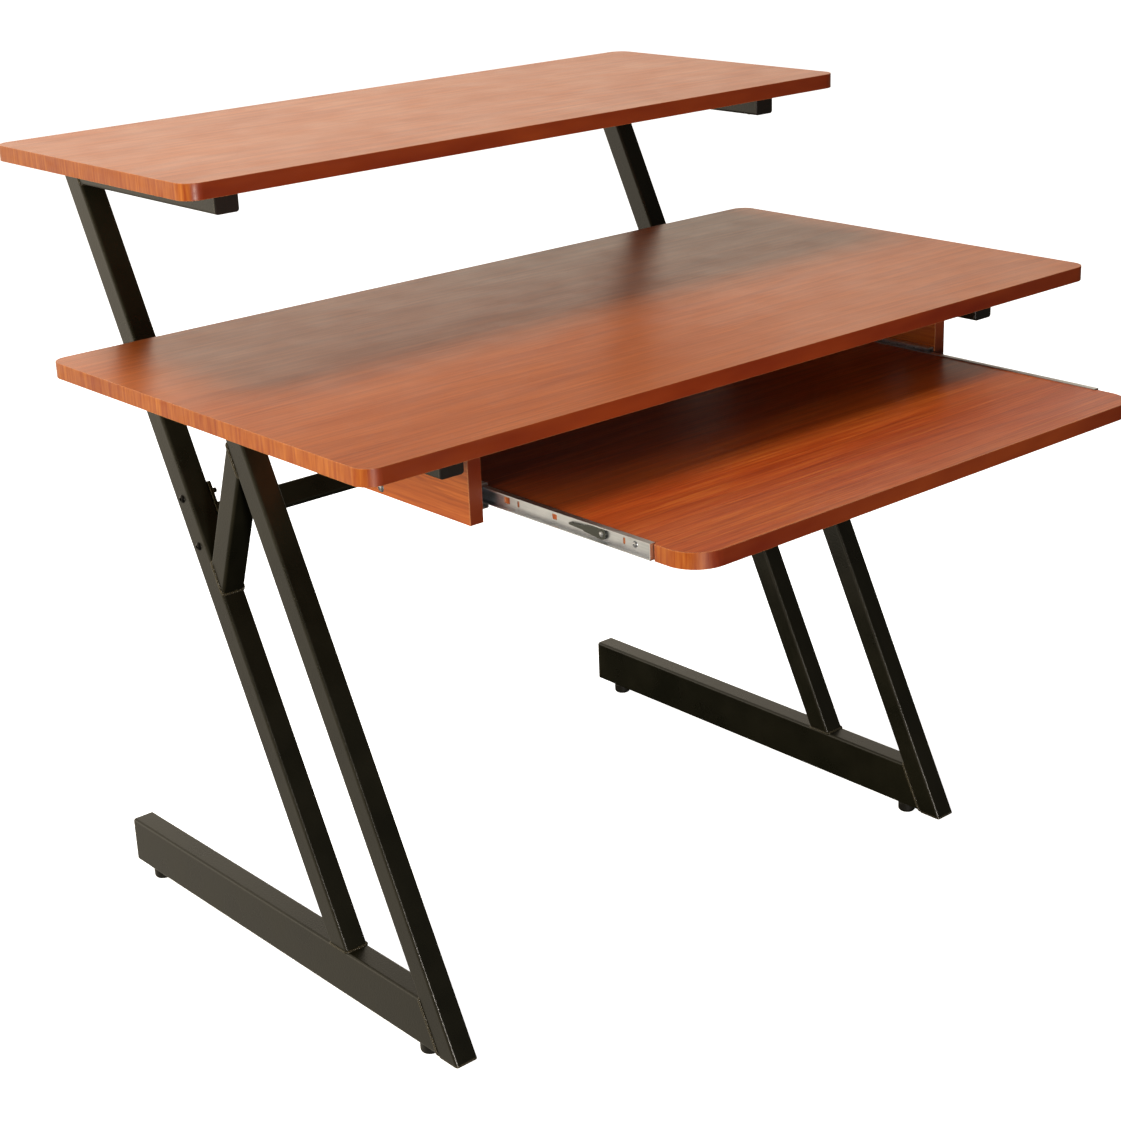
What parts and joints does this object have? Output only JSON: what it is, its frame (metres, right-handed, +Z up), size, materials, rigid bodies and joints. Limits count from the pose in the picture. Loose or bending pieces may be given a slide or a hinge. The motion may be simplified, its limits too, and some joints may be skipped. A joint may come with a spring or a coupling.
{
  "type": "computer desk with keyboard tray",
  "caption": "Wood-print desktop with a raised rear shelf on a black leaning-tube frame, and a keyboard tray on ball slides under the desktop.",
  "frame": {"origin": "on the floor, under the middle of the overall box with the tray pulled out", "axes": "+X to the user's right along the desktop, -Y to the front where the user sits, +Z up"},
  "size_m": [1.098, 0.994, 0.961],
  "materials": {
    "laminate": "reddish-brown rosewood-print laminate, satin",
    "edge_band": "wood-print edging, satin",
    "frame_black": "black powder coat, satin",
    "zinc": "zinc-plated pressed steel",
    "black_plastic": "moulded black plastic",
    "screw_black": "black oxide steel",
    "chrome_ball": "polished bearing steel"
  },
  "bodies": {
    "root": {"bracket_side_screws": "zinc", "bracket_top_screws": "zinc", "cabinet_member_screws": "zinc", "crossbar": "frame_black", "crossbar_bolts": "screw_black", "crossbar_nuts": "screw_black", "desk_arm_pads": "black_plastic", "desk_arm_plugs": "black_plastic", "desktop_board": "laminate", "desktop_edge_band": "edge_band", "desktop_screws": "screw_black", "foot_rail_plugs": "black_plastic", "front_leg_plugs": "black_plastic", "glide_inserts": "zinc", "left_cabinet_member": "zinc", "left_crossbar_plate": "frame_black", "left_desk_arm": "frame_black", "left_foot_rail": "frame_black", "left_front_leg": "frame_black", "left_rear_leg": "frame_black", "left_shelf_arm": "frame_black", "left_side_panel": "laminate", "left_v_brace": "frame_black", "panel_brackets": "zinc", "panel_cap_screws": "zinc", "right_cabinet_member": "zinc", "right_crossbar_plate": "frame_black", "right_desk_arm": "frame_black", "right_foot_rail": "frame_black", "right_front_leg": "frame_black", "right_rear_leg": "frame_black", "right_shelf_arm": "frame_black", "right_side_panel": "laminate", "right_v_brace": "frame_black", "shelf_arm_plugs": "black_plastic", "shelf_board": "laminate", "shelf_edge_band": "edge_band", "shelf_screws": "screw_black", "side_panel_bands": "edge_band"},
    "tray": {"tray_board": "laminate", "tray_edge_band": "edge_band", "left_drawer_member": "zinc", "right_drawer_member": "zinc", "drawer_member_screws": "zinc", "lever_rivets": "zinc"},
    "left_cage": {"left_ball_cage": "zinc", "left_slide_balls": "chrome_ball"},
    "left_lever": {"left_release_lever": "black_plastic"},
    "left_front_foot": {"left_front_glide": "black_plastic"},
    "left_rear_foot": {"left_rear_glide": "black_plastic"},
    "right_cage": {"right_ball_cage": "zinc", "right_slide_balls": "chrome_ball"},
    "right_lever": {"right_release_lever": "black_plastic"},
    "right_front_foot": {"right_front_glide": "black_plastic"},
    "right_rear_foot": {"right_rear_glide": "black_plastic"}
  },
  "joints": [
    {"name": "tray_slide", "type": "slide", "parent": "root", "child": "tray", "axis": [0, -1, 0], "range_m": [-0.24, 0.01]},
    {"name": "left_cage_roll", "type": "slide", "parent": "root", "child": "left_cage", "axis": [0, -1, 0], "range_m": [-0.12, 0.005]},
    {"name": "right_cage_roll", "type": "slide", "parent": "root", "child": "right_cage", "axis": [0, -1, 0], "range_m": [-0.12, 0.005]},
    {"name": "left_lever_pivot", "type": "hinge", "parent": "tray", "child": "left_lever", "pos_m": [-0.3443, -0.37, 0.6585], "axis": [1, 0, 0], "range_deg": [0, 7], "stiffness_Nm_per_rad": 0.05},
    {"name": "right_lever_pivot", "type": "hinge", "parent": "tray", "child": "right_lever", "pos_m": [0.3443, -0.37, 0.6585], "axis": [1, 0, 0], "range_deg": [-7, 0], "stiffness_Nm_per_rad": 0.05},
    {"name": "left_front_glide_screw", "type": "slide", "parent": "root", "child": "left_front_foot", "axis": [0, 0, -1], "range_m": [0, 0.01]},
    {"name": "left_rear_glide_screw", "type": "slide", "parent": "root", "child": "left_rear_foot", "axis": [0, 0, -1], "range_m": [0, 0.01]},
    {"name": "right_front_glide_screw", "type": "slide", "parent": "root", "child": "right_front_foot", "axis": [0, 0, -1], "range_m": [0, 0.01]},
    {"name": "right_rear_glide_screw", "type": "slide", "parent": "root", "child": "right_rear_foot", "axis": [0, 0, -1], "range_m": [0, 0.01]}
  ],
  "couplings": [
    {"joint": "left_cage_roll", "follows": "tray_slide", "ratio": 0.5},
    {"joint": "right_cage_roll", "follows": "tray_slide", "ratio": 0.5}
  ]
}
